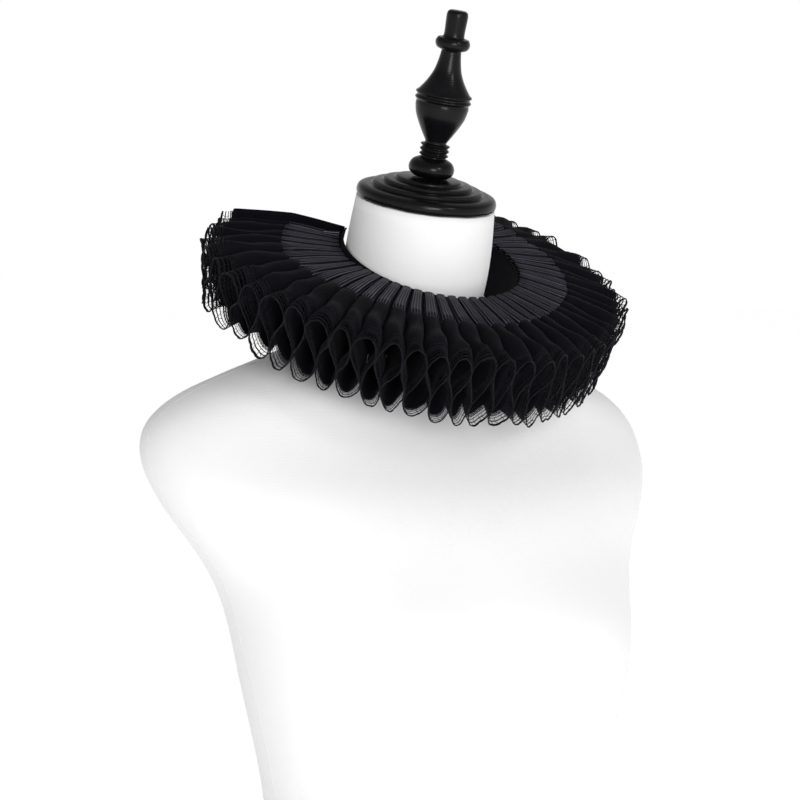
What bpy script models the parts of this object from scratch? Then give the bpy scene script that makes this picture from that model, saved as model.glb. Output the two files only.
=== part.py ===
"""A pleated ruff collar on a limbless dress form.

The collar is one long strip, sewn from a ribbed ribbon, a plain cloth and a lace edging, set in upright
figure-of-eight folds round a neckband. The form is a torso with a turned cap and finial, on its flat underside.
Sizes are millimetres until a mesh is made. The form faces -Y and +Z is up.
"""

import math

import bpy
from mathutils import Matrix, Vector

MM = 0.001
SEAM = 0.4  # between two pieces that are sewn together

# Where the collar sits: the middle of its neck edge, on top, and how far it tips forward, in degrees
COLLAR_CENTRE = (10.0, 3.3, 625.0)
COLLAR_FORWARD = 23.5

# The pleated strip
FOLDS = 42  # each is one upper loop and one lower loop
FIRST_END, LAST_END = -133.0, 158.0  # degrees round from the front towards +X, with the nape left open
NECK_EDGE = 64.0
RIBBON_WIDTH = 37.0
CLOTH_WIDTH = 37.0
LACE_WIDTH = 12.0
SCALLOP = 1.6  # how far the lace draws back beside each loop
TUCK = 8.0  # how much less the lower loops reach out than the upper ones
FAN = 0.15  # how much closer the folds stand at the front rim than at the sides
CLOTH_WALL = 1.0
FOLD_STOPS = (NECK_EDGE, NECK_EDGE + RIBBON_WIDTH, NECK_EDGE + RIBBON_WIDTH + CLOTH_WIDTH)
RIM = FOLD_STOPS[2] + LACE_WIDTH

# A loop's flat top, then its widest place: how far from the loop's middle, as a share of the folds' spacing,
# at each of the fold stops, and how high, as a share of the strip's height
LOOP = {
    "neck": (0.36, 0.31),
    "ribbon_end": (0.35, 0.35),
    "rim": (0.29, 0.43),
    "height": (0.50, 0.25),
}

# The collar round the neck: how far it reaches out, as a share of the strip's width, its height at the rim,
# how far its top falls on the way there, and how much lower the whole strip is sewn beside the opening
ROUND = {
    "angle": (-133.0, -100.0, -60.0, 0.0, 60.0, 100.0, 158.0),
    "reach": (1.02, 1.20, 1.08, 1.0, 0.92, 0.90, 0.95),
    "rim_height": (38.0, 41.0, 50.0, 51.0, 52.0, 52.0, 50.0),
    "fall": (8.0, -1.0, 0.0, 0.0, 2.0, 8.0, 14.0),
    "drop": (8.0, 6.0, 1.5, 0.0, 0.0, 0.0, 0.0),
}
NECK_HEIGHT = 40.0
FALL_SHARE = (0.0, 0.1, 1.0)  # of the fall, at each of the fold stops
LACE_FALL = 3.0
UNEVEN_HEIGHT = 0.03
UNEVEN_SIDE = 0.025

END_TRIM = 0.05  # how far past a loop's middle a length of the strip ends, as a share of the loop's flat top

# The lace's holes: where they start and end across a loop's top or its side, and along the lace's width
TOP_HOLE = (0.20, 0.80)
SIDE_HOLE = (0.34, 0.66)
HOLE_ENDS = (0.22, 0.80)

# The neckband, and what stands at the opening
BAND_WALL = 1.6
BAND_HEIGHT = 35.0
BAND_TOP = -2.0
BAND_STEPS = 44
PANEL_WALL = 1.0
PANEL_RISE = 6.0
PANEL_GAP = 0.5
TAB_LENGTH = 11.0
TAB_HEIGHT = 5.0
TAB_OUT = 1.5
TAB_ANGLE = -124.0

# The dress form: half widths and depths of its sections, with the place of the widest line and the lean
FORM_SIDES = 28
FORM = {
    "height": (0, 35, 75, 115, 150, 180, 205, 228, 255, 290, 325, 352, 378, 402, 425, 447, 468, 484, 499, 513, 528,
               543, 555, 563, 571, 583, 600, 630, 661),
    "width": (158, 168, 172, 165, 150, 134, 122, 118, 121, 130, 140, 146, 150, 155, 167, 184, 195, 199, 197, 188,
              166, 130, 95, 70, 56, 51, 51, 51.3, 48.6),
    "front": (98, 106, 109, 105, 98, 91, 87, 86, 89, 94, 97, 98, 98, 98, 98, 97, 92, 84, 76, 69, 61, 53, 47, 42, 40,
              42, 47, 51.3, 48.6),
    "back": (114, 124, 128, 120, 107, 94, 86, 82, 83, 87, 91, 94, 95, 93, 88, 81, 74, 69, 65, 61, 57, 54, 52, 51, 51,
             51.5, 52, 51.5, 48.6),
    "middle": (-22, -24, -27, -31, -34, -37, -40, -42, -43, -44, -43, -41, -35, -23, -9, 2, 12, 20, 25, 27, 26, 24,
               21, 19, 17, 13.5, 9, 3, -2.6),
    "lean": (0, 0, 0, 0, 0, 0, 0, 0, 0, 0, 0, 0, 0, 0, 0, 0, 0, 0, 0, 0, 0, 1, 3, 5, 7, 9, 10.4, 10.4, 10.4),
}
SQUARE = 2.25  # the exponent of the torso's sections, 2 for an ellipse
BUST = {"height": 368.0, "side": 76.0, "out": 16.0, "wide": 46.0, "tall": 42.0}

# The turned cap and finial, from the neck's top up
TURNED_SIDES = 24
CAP_BASE = (0.0, -2.7, 661.4)
NECK_LEAN = 10.4
FINIAL_SIDE = 2.0  # degrees that the finial leans towards +X in its socket
CAP = {
    "height": (0, 0, 1.4, 4.4, 7.4, 8.8, 9.2, 11.6, 12.3, 14.4, 15, 16.6, 17.2, 17.2),
    "radius": (0, 46.5, 48.2, 48.7, 47.4, 44, 38.5, 37.6, 31.3, 30.4, 23.8, 22.8, 20, 0),
}
FINIAL = {
    "height": (18.1, 18.1, 21, 25, 29, 31.8, 33.4, 35, 36.8, 38.6, 40.4, 42, 47.5, 54, 60.5, 67, 70, 71.8, 73.8, 75.8,
               77.6, 84, 91, 98, 104.5, 106, 107.6, 111, 114.4, 116, 130.5, 133.5, 134.5),
    "radius": (0, 12, 15.2, 15.8, 13.6, 8.6, 10.2, 8.8, 10.2, 8.8, 10.2, 7.4, 10.4, 14, 17, 18.4, 18.2, 19.5, 18.3,
               19.5, 17.6, 13.2, 9.8, 8, 7, 7.2, 10.6, 12, 10.6, 7.2, 7.4, 5.5, 0),
}

BLACK_RIBBON = (0.022, 0.022, 0.026)
BLACK_CLOTH = (0.010, 0.010, 0.013)
BLACK_LACE = (0.008, 0.008, 0.009)
BLACK_LACQUER = (0.006, 0.006, 0.008)
WHITE_COVER = (0.86, 0.86, 0.87)


def read(table, column, place, along="angle"):
    """A table's value at a place along it, eased from one row to the next."""
    places, values = table[along], table[column]
    for low, high, start, end in zip(places, places[1:], values, values[1:]):
        if place <= high:
            share = max(0.0, (place - low) / (high - low))
            return start + (end - start) * share * share * (3 - 2 * share)
    return values[-1]


def between(stops, values, place):
    """A value at a place among stops, in straight runs, and past the last stop as at it."""
    for low, high, start, end in zip(stops, stops[1:], values, values[1:]):
        if place <= high:
            return start + (end - start) * (place - low) / (high - low)
    return values[-1]


def uneven(loop, kind):
    """A repeatable number from -1 to 1, different for each loop of the strip."""
    return math.sin(loop * 2.399 + kind * 1.7) * math.cos(loop * 0.731 + kind * 4.1)


def round_neck(angle, radius, up):
    """A point in the collar's own frame, from degrees round, distance from its axis and height."""
    turn = math.radians(angle)
    return Vector((radius * math.sin(turn), -radius * math.cos(turn), up))


def collar_frame():
    return Matrix.Translation(Vector(COLLAR_CENTRE)) @ Matrix.Rotation(math.radians(COLLAR_FORWARD), 4, "X")


def strip_height(angle, radius):
    share = between(FOLD_STOPS, (0.0, 0.45, 1.0), radius)
    return NECK_HEIGHT + (read(ROUND, "rim_height", angle) - NECK_HEIGHT) * share


def strip_top(angle, radius):
    fall = read(ROUND, "drop", angle) + read(ROUND, "fall", angle) * between(FOLD_STOPS, FALL_SHARE, radius)
    return -fall - LACE_FALL * max(0.0, radius - FOLD_STOPS[2]) / LACE_WIDTH


def strip_point(loop, row, way, radius):
    """A point of the strip: loops count up and down in turn, rows are the table's, way is -1, 0 or 1."""
    side = between(FOLD_STOPS, (LOOP["neck"][row], LOOP["ribbon_end"][row], LOOP["rim"][row]), radius)
    out_share = between(FOLD_STOPS, (0.0, 0.4, 1.0), radius)
    folds = loop / 2 + way * side + UNEVEN_SIDE * out_share * uneven(loop, 1)
    folds = min(max(folds, 0.0), FOLDS)
    angle = FIRST_END + (LAST_END - FIRST_END) * folds / FOLDS
    out = radius - NECK_EDGE
    up = LOOP["height"][row] if loop % 2 == 0 else -LOOP["height"][row]
    reach = NECK_EDGE + out * read(ROUND, "reach", angle) - TUCK * out_share * (0.5 - up)
    fanned = angle - math.degrees(FAN) * out / (RIM - NECK_EDGE) * math.sin(math.radians(angle))
    height = strip_height(angle, radius)
    loose = 1 + UNEVEN_HEIGHT * out_share * uneven(loop, 2)
    return round_neck(fanned, reach, strip_top(angle, radius) - height / 2 + up * height * loose)


def strip_columns(first, last):
    """The strip's columns of points from one loop's middle to another's: loop, row and way."""
    columns = [(first, 0, END_TRIM), (first, 0, 1), (first, 1, 1)]
    for loop in range(first + 1, last):
        columns += [(loop, 1, -1), (loop, 0, -1), (loop, 0, 1), (loop, 1, 1)]
    return columns + [(last, 1, -1), (last, 0, -1), (last, 0, -END_TRIM)]


def skins(line_in, line_out, wall):
    """The two faces of a wall, from its middle's inner and outer lines of points."""
    near, far = [], []
    count = len(line_in)
    for i in range(count):
        radial = line_out[i] - line_in[i]
        for line in (line_in, line_out):
            before = line[i] - line[i - 1] if i > 0 else line[1] - line[0]
            after = line[i + 1] - line[i] if i < count - 1 else before
            one = before.cross(radial).normalized()
            two = after.cross(radial).normalized()
            push = (one + two) * (wall / 2 / (1 + one.dot(two)))
            near.append(line[i] + push)
            far.append(line[i] - push)
    return near, far


def material(name, colour, roughness):
    made = bpy.data.materials.new(name)
    made.use_nodes = True
    shader = made.node_tree.nodes["Principled BSDF"]
    shader.inputs["Base Color"].default_value = (*colour, 1.0)
    shader.inputs["Roughness"].default_value = roughness
    shader.inputs["Metallic"].default_value = 0.0
    return made


def add_object(name, points, faces, finish, place=Matrix(), smooth=False):
    mesh = bpy.data.meshes.new(name)
    mesh.from_pydata([(place @ Vector(point)) * MM for point in points], [], faces)
    mesh.materials.append(finish)
    if smooth:
        mesh.shade_smooth()
        mesh.set_sharp_from_angle(angle=math.radians(35))
    made = bpy.data.objects.new(name, mesh)
    bpy.context.scene.collection.objects.link(made)
    return made


def cut_hole(points, faces, corners_near, corners_far, sides):
    """Closes one stretch of wall round a hole that goes through it."""
    rings = []
    for corners in (corners_near, corners_far):
        a, b, c, d = (Vector(points[corner]) for corner in corners)
        ring = []
        for side, end in ((0, 0), (1, 0), (1, 1), (0, 1)):
            low = a.lerp(b, sides[side])
            high = d.lerp(c, sides[side])
            ring.append(len(points))
            points.append(low.lerp(high, HOLE_ENDS[end]))
        rings.append(ring)
    for i in range(4):
        j = (i + 1) % 4
        faces.append((corners_near[i], corners_near[j], rings[0][j], rings[0][i]))
        faces.append((corners_far[j], corners_far[i], rings[1][i], rings[1][j]))
        faces.append((rings[0][i], rings[0][j], rings[1][j], rings[1][i]))


def add_band(name, columns, inner, outer, finish, cut=False):
    """One band of the strip as a closed wall, with the lace's holes and drawn edge where it is cut."""
    line_in = [strip_point(*column, inner) for column in columns]
    line_out = []
    for loop, row, way in columns:
        drawn = SCALLOP * row if cut else 0.0
        line_out.append(strip_point(loop, row, way, outer - drawn))
    near, far = skins(line_in, line_out, CLOTH_WALL)
    points = near + far
    shift = len(near)
    faces = []
    for i in range(len(columns) - 1):
        a, b, c, d = 2 * i, 2 * i + 2, 2 * i + 3, 2 * i + 1
        quad = (a, b, c, d)
        back = tuple(corner + shift for corner in quad)
        if cut and columns[i][1:] == (0, -1) and columns[i + 1][1:] == (0, 1):
            cut_hole(points, faces, quad, back, TOP_HOLE)
        elif cut and columns[i][1:] == (1, 1) and columns[i + 1][1:] == (1, -1):
            cut_hole(points, faces, quad, back, SIDE_HOLE)
        else:
            faces += [(a, b, c), (a, c, d), (back[0], back[2], back[1]), (back[0], back[3], back[2])]
        faces.append((b, a, a + shift, b + shift))
        faces.append((d, c, c + shift, d + shift))
    last = 2 * len(columns) - 2
    faces.append((0, 1, 1 + shift, shift))
    faces.append((last + 1, last, last + shift, last + 1 + shift))
    return add_object(name, points, faces, finish, collar_frame())


def add_strip(ribbon, cloth, lace):
    half = SEAM / 2
    whole = strip_columns(0, 2 * FOLDS)
    add_band("ruffle_ribbon", whole, NECK_EDGE, FOLD_STOPS[1] - half, ribbon)
    add_band("ruffle_cloth", whole, FOLD_STOPS[1] + half, FOLD_STOPS[2] - half, cloth)
    middle = FOLDS + 1
    add_band("lace_right", strip_columns(0, middle), FOLD_STOPS[2] + half, RIM, lace, cut=True)
    add_band("lace_left", strip_columns(middle, 2 * FOLDS), FOLD_STOPS[2] + half, RIM, lace, cut=True)


def loft(rings, flip=False):
    """Faces that join closed rings of points in order, with both ends closed."""
    points = [point for ring in rings for point in ring]
    count = len(rings[0])
    faces = []
    for ring in range(len(rings) - 1):
        for i in range(count):
            j = (i + 1) % count
            faces.append((ring * count + i, ring * count + j, (ring + 1) * count + j, (ring + 1) * count + i))
    faces.append(tuple(reversed(range(count))))
    faces.append(tuple(range(len(points) - count, len(points))))
    if flip:
        faces = [face[::-1] for face in faces]
    return points, faces


def add_neckband(cloth):
    """An upright band round the neck, open at the nape."""
    outer = NECK_EDGE - SEAM
    inner = outer - BAND_WALL
    bottom = BAND_TOP - BAND_HEIGHT
    rings = []
    for step in range(BAND_STEPS + 1):
        angle = FIRST_END + (LAST_END - FIRST_END) * step / BAND_STEPS
        corners = ((inner, BAND_TOP), (outer, BAND_TOP), (outer, bottom), (inner, bottom))
        rings.append([round_neck(angle, radius, up) for radius, up in corners])
    points, faces = loft(rings)
    add_object("neckband", points, faces, cloth, collar_frame())


def add_closing_panel(cloth):
    """The strip's plain first end, upright along the opening and a little higher than the folds."""
    rings = []
    for radius in (*FOLD_STOPS, RIM):
        edge = strip_point(0, 0, 0, radius)
        reach = math.hypot(edge.x, edge.y)
        angle = math.degrees(math.atan2(edge.x, -edge.y))
        near = math.degrees((PANEL_WALL + PANEL_GAP) / reach)
        far = math.degrees(PANEL_GAP / reach)
        top = edge.z + PANEL_RISE
        bottom = edge.z - strip_height(FIRST_END, radius)
        corners = ((near, bottom), (far, bottom), (far, top), (near, top))
        rings.append([round_neck(angle - turn, reach, up) for turn, up in corners])
    points, faces = loft(rings)
    add_object("closing_panel", points, faces, cloth, collar_frame())


def add_ribbon_tab(ribbon):
    """The ribbon's folded end, standing on the first fold beside the closing panel."""
    side = math.degrees(CLOTH_WALL / NECK_EDGE)
    rings = []
    for radius in (NECK_EDGE + TAB_OUT, NECK_EDGE + TAB_OUT + TAB_LENGTH):
        foot = strip_top(TAB_ANGLE, radius) + CLOTH_WALL / 2 + SEAM
        corners = ((-side, foot), (side, foot), (side / 2, foot + TAB_HEIGHT), (-side / 2, foot + TAB_HEIGHT))
        rings.append([round_neck(TAB_ANGLE + turn, radius, up) for turn, up in corners])
    points, faces = loft(rings)
    add_object("ribbon_tab", points, faces, ribbon, collar_frame())


def form_ring(row):
    """One closed section of the dress form, leaning forward where the neck does."""
    height, width, front, back, middle, lean = (FORM[column][row] for column in FORM)
    square = SQUARE if lean == 0 else 2.0
    tilt = math.radians(lean)
    ring = []
    for i in range(FORM_SIDES):
        turn = math.tau * (i + 0.5) / FORM_SIDES
        side = math.copysign(abs(math.sin(turn)) ** (2 / square), math.sin(turn)) * width
        depth = front if math.cos(turn) > 0 else back
        along = math.copysign(abs(math.cos(turn)) ** (2 / square), math.cos(turn)) * depth
        if math.cos(turn) > 0:
            beside = (abs(side) - BUST["side"]) / BUST["wide"]
            above = (height - BUST["height"]) / BUST["tall"]
            along += BUST["out"] * math.exp(-beside * beside - above * above) * math.cos(turn)
        ring.append((side, middle - along * math.cos(tilt), height - along * math.sin(tilt)))
    return ring


def add_form(cover):
    points, faces = loft([form_ring(row) for row in range(len(FORM["height"]))])
    add_object("dress_form", points, faces, cover, smooth=True)


def turned(profile):
    """A lathe shape from a table of heights and radii, closed at both ends."""
    heights, radii = profile["height"], profile["radius"]
    rings = []
    for height, radius in zip(heights[1:-1], radii[1:-1]):
        ring = []
        for i in range(TURNED_SIDES):
            turn = math.tau * i / TURNED_SIDES
            ring.append((radius * math.cos(turn), radius * math.sin(turn), height))
        rings.append(ring)
    return loft(rings)


def add_cap_and_finial(lacquer):
    place = Matrix.Translation(Vector(CAP_BASE)) @ Matrix.Rotation(math.radians(NECK_LEAN), 4, "X")
    points, faces = turned(CAP)
    add_object("neck_cap", points, faces, lacquer, place, smooth=True)
    points, faces = turned(FINIAL)
    tipped = place @ Matrix.Rotation(math.radians(FINIAL_SIDE), 4, "Y")
    add_object("finial", points, faces, lacquer, tipped, smooth=True)


def main():
    for old in list(bpy.data.objects):
        bpy.data.objects.remove(old)
    cloth = material("black_cloth", BLACK_CLOTH, 0.9)
    ribbon = material("black_ribbon", BLACK_RIBBON, 0.5)
    lace = material("black_lace", BLACK_LACE, 0.8)
    lacquer = material("black_lacquer", BLACK_LACQUER, 0.2)
    cover = material("white_cover", WHITE_COVER, 0.8)
    add_form(cover)
    add_cap_and_finial(lacquer)
    add_neckband(cloth)
    add_strip(ribbon, cloth, lace)
    add_closing_panel(cloth)
    add_ribbon_tab(ribbon)


main()
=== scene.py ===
"""A pleated black ruff collar on its dress form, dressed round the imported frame.

The frame is in metres and the form faces -Y. The collar's strip is worked out in millimetres in its own
frame, from the same sizes as its solids, and is cut much finer into ribbon, cloth and lace.
"""

import math

import bmesh
import bpy
import numpy as np
from mathutils import Matrix, Vector, noise
from mathutils.bvhtree import BVHTree


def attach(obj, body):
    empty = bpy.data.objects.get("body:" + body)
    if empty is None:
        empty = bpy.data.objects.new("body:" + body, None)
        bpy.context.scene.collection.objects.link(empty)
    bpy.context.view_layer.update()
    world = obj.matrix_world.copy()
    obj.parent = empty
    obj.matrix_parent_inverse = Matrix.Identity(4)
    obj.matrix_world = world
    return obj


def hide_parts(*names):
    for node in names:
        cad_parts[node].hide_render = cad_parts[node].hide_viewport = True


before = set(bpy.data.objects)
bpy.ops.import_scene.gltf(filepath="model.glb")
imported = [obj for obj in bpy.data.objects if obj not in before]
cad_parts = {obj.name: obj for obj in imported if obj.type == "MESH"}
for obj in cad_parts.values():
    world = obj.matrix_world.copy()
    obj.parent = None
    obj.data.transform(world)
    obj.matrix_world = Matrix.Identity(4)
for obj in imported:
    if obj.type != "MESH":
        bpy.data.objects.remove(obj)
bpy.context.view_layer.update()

bl_info = {
    "name": "Ruff Collar",
    "version": (1, 0, 0),
    "blender": (4, 5, 0),
    "location": "View3D > Sidebar > Ruff Collar",
    "description": "Makes a pleated ruff collar and the dress form it stands on",
    "category": "Add Mesh",
}

MM = 0.001

# Where the collar sits and how far it tips forward
COLLAR_CENTRE = (10.0, 3.3, 625.0)
COLLAR_FORWARD = 23.5

# The pleated strip: its folds, and where it starts and ends in degrees round from the front
FOLDS = 42
FIRST_END, LAST_END = -133.0, 158.0
NECK_EDGE = 64.0
RIBBON_WIDTH = 37.0
CLOTH_WIDTH = 37.0
LACE_WIDTH = 12.0
UNDER_RIBBON = 0.9  # how far the cloth runs on under the ribbon
UNDER_LACE = 2.0  # and behind the lace
TUCK = 8.0  # how much less far the lower loops reach than the upper ones
FAN = 0.15  # radians that the side folds lean forward at the rim
FOLD_STOPS = (NECK_EDGE, NECK_EDGE + RIBBON_WIDTH, NECK_EDGE + RIBBON_WIDTH + CLOTH_WIDTH)
RIM = FOLD_STOPS[2] + LACE_WIDTH

# A loop's top and its widest place: half widths as shares of a fold, and heights as shares of the strip's
LOOP = {"neck": (0.34, 0.44), "ribbon_end": (0.33, 0.47), "rim": (0.22, 0.485), "height": (0.50, 0.22)}

# The strip at angles round the neck: its reach, its rim's height, how far the rim falls and the seam drops
ROUND = {
    "angle": (-133.0, -100.0, -60.0, 0.0, 60.0, 100.0, 158.0),
    "reach": (1.02, 1.20, 1.08, 1.0, 0.92, 0.90, 0.95),
    "rim_height": (38.0, 41.0, 50.0, 51.0, 52.0, 52.0, 50.0),
    "fall": (8.0, -1.0, 0.0, 0.0, 2.0, 8.0, 14.0),
    "drop": (8.0, 6.0, 1.5, 0.0, 0.0, 0.0, 0.0),
}
NECK_HEIGHT = 40.0
LACE_FALL = 3.0
UNEVEN_HEIGHT = 0.03
UNEVEN_SIDE = 0.010
END_TRIM = 0.05

# What grows from the neck outwards, as shares at the three fold stops
HEIGHT_SHARE = (0.0, 0.45, 1.0)
FALL_SHARE = (0.0, 0.1, 1.0)
OUT_SHARE = (0.0, 0.4, 1.0)
SWAY_SHARE = (0.0, 0.3, 1.0)
ROUNDNESS = (0.25, 0.45, 1.0)  # from folds pressed nearly flat to open loops

SWAY = 1.5  # how far the cloth wanders at its rim
SWAY_WAVES = ((0.151, 0.093, 0.11, 1.3), (0.087, -0.139, 0.13, 4.1), (0.117, 0.161, -0.05, 2.6))
KNOT_PARTS = 16  # parts between two knots
CLOTH_PARTS = 40  # parts of the plain cloth to each fold

# The stitches where the ribbon meets the cloth
STITCH_SPACING = 2.8
STITCH_INSET = 1.6
STITCH_WIDTH = 0.3
STITCH_RISE = 0.12

# The lace: its rows of thread by distance from its sewn edge, its net's outer levels, its edge and its teeth
LACE_ROWS = (0.3, 2.3, 3.3, 4.4)
NET_ROWS = (6.3, 8.4)
EDGE_ROW = 10.9
TOOTH_FOOT, TOOTH_TIP = 11.2, 11.9
TOOTH_HALF = 0.6
LACE_TWIST = 0.0008  # metres to a twist of its thread

# The neckband, and what stands at the opening
EDGE_TRIM = 0.3  # how far these shells end inside their solids' edges
BAND_WALL = 1.5
BAND_TURN = 0.0011  # metres round the band to a degree
BAND_HEIGHT = 35.0
BAND_TOP = -2.0
BAND_GAP = 0.45
PANEL_GAP = 0.9
PANEL_RISE = 6.0
PANEL_WIDTH = 46.0
PANEL_WALL = 0.7
PANEL_GRID = (33, 17)
PANEL_HEM = (1.1, 1.0)
TAB_LENGTH = 11.0
TAB_HEIGHT = 5.0
TAB_OUT = 1.5
TAB_ANGLE = -124.0
TAB_FOOT = 1.15
TAB_HALF = 0.75  # half the space between the tab's two sides
TAB_MARGIN = 0.4  # how much lower than its solid the tab's bend stays
TAB_CURL = 0.4  # how far its top leans over, half way along
TAB_WALL = 0.5
# How much paler the folded end's copy of the ribbon is painted, as painted light
TAB_PAINTED_LIGHTER = 2.2

# The turned cap and finial: heights and radii from the neck's top up
CAP_BASE = (0.0, -2.7, 661.4)
NECK_LEAN = 10.4
FINIAL_SIDE = 2.0
CAP = (
    (0, 46.5), (1.4, 48.2), (4.4, 48.7), (7.4, 47.4), (8.8, 44), (9.2, 38.5), (11.6, 37.6), (12.3, 31.3),
    (14.4, 30.4), (15, 23.8), (16.6, 22.8), (17.2, 20),
)
FINIAL = (
    (18.1, 12), (21, 15.2), (25, 15.8), (29, 13.6), (31.8, 8.6), (33.4, 10.2), (35, 8.8), (36.8, 10.2),
    (38.6, 8.8), (40.4, 10.2), (42, 7.4), (47.5, 10.4), (54, 14), (60.5, 17), (67, 18.4), (70, 18.2),
    (71.8, 19.5), (73.8, 18.3), (75.8, 19.5), (77.6, 17.6), (84, 13.2), (91, 9.8), (98, 8), (104.5, 7),
    (106, 7.2), (107.6, 10.6), (111, 12), (114.4, 10.6), (116, 7.2), (130.5, 7.4), (133.5, 5.5),
)

# Turned pieces: parts between two points of a profile, and parts round
PROFILE_PARTS = 5
TURNED_PARTS = 80

# The form's cover: its usual radius, its seams' heights and the painted shade that darkens them, and where
# its side seams run
COVER_RADIUS = 0.14
SEAM_ENDS = (0.012, 0.548)
SEAM_PARTS = 110
SEAM_PAINTED_SHADE = 0.93
SEAM_HEIGHTS = (0.0, 0.115, 0.228, 0.325, 0.402, 0.468, 0.513, 0.548)
SEAM_PLACES = (-0.022, -0.031, -0.042, -0.043, -0.023, 0.012, 0.027, 0.024)

# The camera: where it looks, from which side, and its lens
AIM = (0.0, 0.02, 0.521)
AZIMUTH, ELEVATION, ROLL = -31.0, 6.0, 2.5
DISTANCE = 2.0
LENS = 128.0
SENSOR = 36.0

# The lights: metres back towards the camera, to its right and up from where it looks, and how wide they are
KEY_PLACE = (1.5, 1.5, 1.0)
KEY_SIZE = 0.5
FILL_PLACE = (2.1, 0.5, 0.2)
FILL_SIZE = 0.9
LIT_POINT = (0.0, 0.0, 0.55)
SKY_STOPS = (0.1, 0.45)  # up to where the surround is white, and from where it is as overhead


# The collar's own shape
def read(column, place):
    """A value of the collar at a place round the neck, eased from one row to the next."""
    places, values = ROUND["angle"], ROUND[column]
    for low, high, start, end in zip(places, places[1:], values, values[1:]):
        if place <= high:
            share = max(0.0, (place - low) / (high - low))
            return start + (end - start) * share * share * (3 - 2 * share)
    return values[-1]


def between(values, radius):
    """A value at a distance from the neck's middle, in straight runs between the fold stops."""
    return float(np.interp(radius, FOLD_STOPS, values))


def uneven(loop, kind):
    """A repeatable number from -1 to 1, different for each loop of the strip."""
    return math.sin(loop * 2.399 + kind * 1.7) * math.cos(loop * 0.731 + kind * 4.1)


def round_neck(angle, radius, up):
    """A point at an angle round the neck, in the collar's own frame."""
    turn = math.radians(angle)
    return (radius * math.sin(turn), -radius * math.cos(turn), up)


def strip_height(angle, radius):
    return NECK_HEIGHT + (read("rim_height", angle) - NECK_HEIGHT) * between(HEIGHT_SHARE, radius)


def strip_top(angle, radius):
    fall = read("drop", angle) + read("fall", angle) * between(FALL_SHARE, radius)
    return -fall - LACE_FALL * max(0.0, radius - FOLD_STOPS[2]) / LACE_WIDTH


def strip_point(loop, row, way, radius):
    """A point of the strip: loops count up and down in turn, rows are a loop's top and its widest place."""
    side = between((LOOP["neck"][row], LOOP["ribbon_end"][row], LOOP["rim"][row]), radius)
    out_share = between(OUT_SHARE, radius)
    folds = loop / 2 + way * side + UNEVEN_SIDE * out_share * uneven(loop, 1)
    folds = min(max(folds, 0.0), FOLDS)
    angle = FIRST_END + (LAST_END - FIRST_END) * folds / FOLDS
    out = radius - NECK_EDGE
    up = LOOP["height"][row] if loop % 2 == 0 else -LOOP["height"][row]
    reach = NECK_EDGE + out * read("reach", angle) - TUCK * out_share * (0.5 - up)
    fanned = angle - math.degrees(FAN) * out / (RIM - NECK_EDGE) * math.sin(math.radians(angle))
    height = strip_height(angle, radius)
    loose = 1 + UNEVEN_HEIGHT * out_share * uneven(loop, 2)
    return round_neck(fanned, reach, strip_top(angle, radius) - height / 2 + up * height * loose)


def strip_columns(first, last):
    """The strip's columns from one loop's middle to another's: loop, row and way."""
    columns = [(first, 0, END_TRIM), (first, 0, 1), (first, 1, 1)]
    for loop in range(first + 1, last):
        columns += [(loop, 1, -1), (loop, 0, -1), (loop, 0, 1), (loop, 1, 1)]
    return columns + [(last, 1, -1), (last, 0, -1), (last, 0, -END_TRIM)]


def line_through(knots, places, roundness=1.0):
    """Points at fractional places along rows of knots: straight runs at roundness 0, a smooth line at 1."""
    last = len(knots) - 1
    start = np.clip(np.floor(places).astype(int), 0, last - 1)
    t = (places - start).reshape(-1, *([1] * (knots.ndim - 1)))
    before, here = knots[np.maximum(start - 1, 0)], knots[start]
    there, after = knots[start + 1], knots[np.minimum(start + 2, last)]
    bend = 2 * before - 5 * here + 4 * there - after
    twist = 3 * here - before - 3 * there + after
    smooth = (2 * here + (there - before) * t + bend * t**2 + twist * t**3) / 2
    return smooth * roundness + (here * (1 - t) + there * t) * (1 - roundness)


def run_along(line):
    """The distance along a line of points, at each of them."""
    steps = np.linalg.norm(np.diff(line, axis=0), axis=1)
    return np.concatenate(([0.0], np.cumsum(steps)))


def unit(vectors):
    return vectors / np.linalg.norm(vectors, axis=-1, keepdims=True)


class Strip:
    """A strip through rows of knots, read by distance along it and distance from the neck."""

    def __init__(self, knots, radii):
        self.radii = np.array(radii, dtype=float)
        self.knots = np.array(knots)
        self.places = np.linspace(0, len(knots) - 1, (len(knots) - 1) * KNOT_PARTS + 1)
        self.run = run_along(line_through(self.knots[:, len(radii) // 2], self.places))
        self.length = float(self.run[-1])

    def points(self, along, radius):
        places = np.interp(along, self.run, self.places)
        roundness = np.interp(self.radii, FOLD_STOPS, ROUNDNESS)[:, None]
        lines = line_through(self.knots, places, roundness)
        column = np.interp(radius, self.radii, np.arange(len(self.radii)))
        low = np.clip(column.astype(int), 0, len(self.radii) - 2)
        share = (column - low)[:, None]
        rows = np.arange(len(lines))
        points = lines[rows, low] * (1 - share) + lines[rows, low + 1] * share
        return points + self.sway(points, radius)

    def sway(self, points, radius):
        """Slow, uneven wandering that grows towards the rim, the same for all the bands."""
        x, y, z = points.T
        share = np.interp(radius, FOLD_STOPS, SWAY_SHARE) * SWAY
        waves = [np.sin(a * x + b * y + c * z + start) for a, b, c, start in SWAY_WAVES]
        return np.stack(waves, axis=1) * share[:, None]

    def normals(self, along, radius):
        """Directions off the strip's face."""
        step = 0.25
        along = np.clip(along, step, self.length - step)
        radius = np.clip(radius, self.radii[0] + step, self.radii[-1] - step)
        run = self.points(along + step, radius) - self.points(along - step, radius)
        wide = self.points(along, radius + step) - self.points(along, radius - step)
        return unit(np.cross(run, wide))


def pleats(first, last, radii):
    """The pleated strip from one loop's middle to another's, with knots at these radii."""
    columns = strip_columns(first, last)
    return Strip([[strip_point(*column, radius) for radius in radii] for column in columns], radii)


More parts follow.
